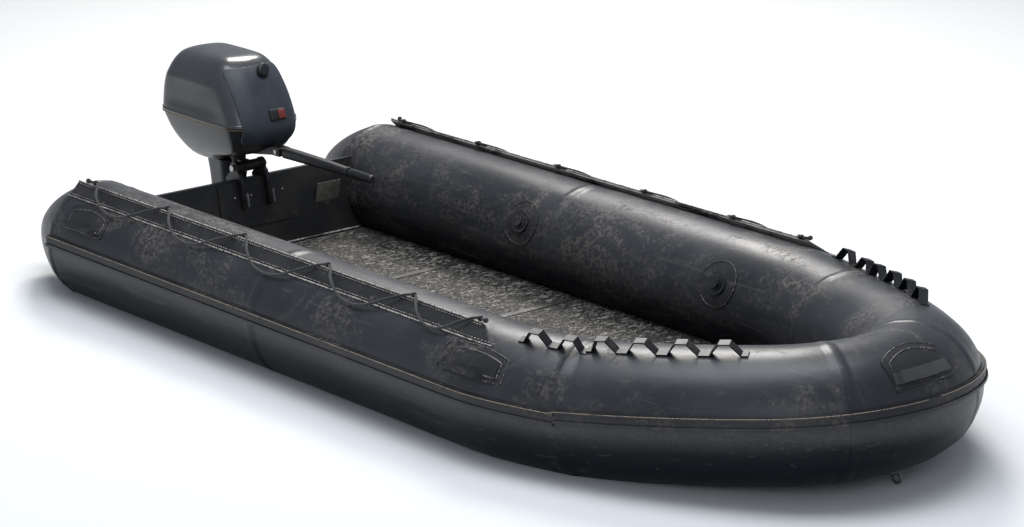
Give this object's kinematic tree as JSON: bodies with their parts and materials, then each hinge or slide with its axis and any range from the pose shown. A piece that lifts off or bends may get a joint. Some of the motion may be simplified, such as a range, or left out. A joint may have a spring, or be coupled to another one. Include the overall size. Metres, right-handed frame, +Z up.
{
  "type": "inflatable boat with outboard motor",
  "caption": "Black inflatable boat, 4.7 m, with rigid deck boards, alloy-faced transom and a tiller-steered grey outboard motor, afloat and empty.",
  "frame": {"origin": "Amidships on the centreline, at the waterline of the empty boat, 40 mm above the underside of the side tubes.", "axes": "+X towards the bow, +Y to port, +Z up."},
  "size_m": [4.6738, 2.0938, 1.404],
  "materials": {
    "tube_rubber": "satin",
    "trim_rubber": "satin",
    "webbing": "matte",
    "rope": "matte",
    "deck_grey": "matte",
    "bare_alloy": "satin",
    "motor_grey": "gloss",
    "black_metal": "satin",
    "bare_steel": "satin",
    "black_plastic": "satin",
    "grip_rubber": "matte"
  },
  "bodies": {
    "hull": {"aft_tube_port": "tube_rubber", "aft_tube_starboard": "tube_rubber", "bottom_skin": "tube_rubber", "bow_handle": "webbing", "bow_patch": "trim_rubber", "bow_tube_port": "tube_rubber", "bow_tube_starboard": "tube_rubber", "carry_handles_port": "trim_rubber", "carry_handles_starboard": "trim_rubber", "carry_patches_port": "trim_rubber", "carry_patches_starboard": "trim_rubber", "clamp_bracket_port": "black_metal", "clamp_bracket_starboard": "black_metal", "clamp_screws": "bare_steel", "deck_boards": "deck_grey", "deck_joiners": "bare_alloy", "fore_tube_port": "tube_rubber", "fore_tube_starboard": "tube_rubber", "keel_tube": "tube_rubber", "lashing_strap_port": "trim_rubber", "lashing_strap_starboard": "trim_rubber", "lifeline_port": "rope", "lifeline_starboard": "rope", "nose_tube": "tube_rubber", "rope_eyes_port": "trim_rubber", "rope_eyes_starboard": "trim_rubber", "rope_flap_port": "trim_rubber", "rope_flap_starboard": "trim_rubber", "stern_cone_port": "tube_rubber", "stern_cone_starboard": "tube_rubber", "strake_bow": "trim_rubber", "strake_port": "trim_rubber", "strake_starboard": "trim_rubber", "tilt_tube": "bare_steel", "tow_eye": "bare_alloy", "transom": "deck_grey", "transom_pads": "bare_alloy", "valves_port": "trim_rubber", "valves_starboard": "trim_rubber"},
    "swivel": {"swivel_bracket": "black_metal"},
    "motor": {"steering_bracket": "black_metal", "steering_arm": "black_metal", "leg": "motor_grey", "ventilation_plate": "motor_grey", "gearcase": "motor_grey", "lower_cowl": "motor_grey", "upper_cowl": "motor_grey", "front_panel": "black_plastic", "starter_handle": "black_plastic", "stop_switch": "black_plastic", "engine_block": "black_metal", "tiller_pin": "bare_steel"},
    "tiller": {"tiller_arm": "black_metal", "tiller_grip": "grip_rubber"},
    "propeller": {"propeller": "black_metal", "propeller_nut": "bare_steel"}
  },
  "joints": [
    {"name": "tilt", "type": "hinge", "parent": "hull", "child": "swivel", "pos_m": [-1.89, 0, 0.418], "axis": [0, 1, 0], "range_deg": [0, 65]},
    {"name": "steering", "type": "hinge", "parent": "swivel", "child": "motor", "pos_m": [-1.965, 0, 0.25], "axis": [0, 0, 1], "range_deg": [-40, 40]},
    {"name": "tiller_fold", "type": "hinge", "parent": "motor", "child": "tiller", "pos_m": [-1.64, 0, 0.532], "axis": [0, -1, 0], "range_deg": [0, 91]},
    {"name": "propeller", "type": "hinge", "parent": "motor", "child": "propeller", "pos_m": [-2.33, 0, -0.306], "axis": [1, 0, 0], "continuous": true}
  ],
  "couplings": [
    {"joint": "tiller_fold", "follows": "tilt", "ratio": 1.4}
  ]
}
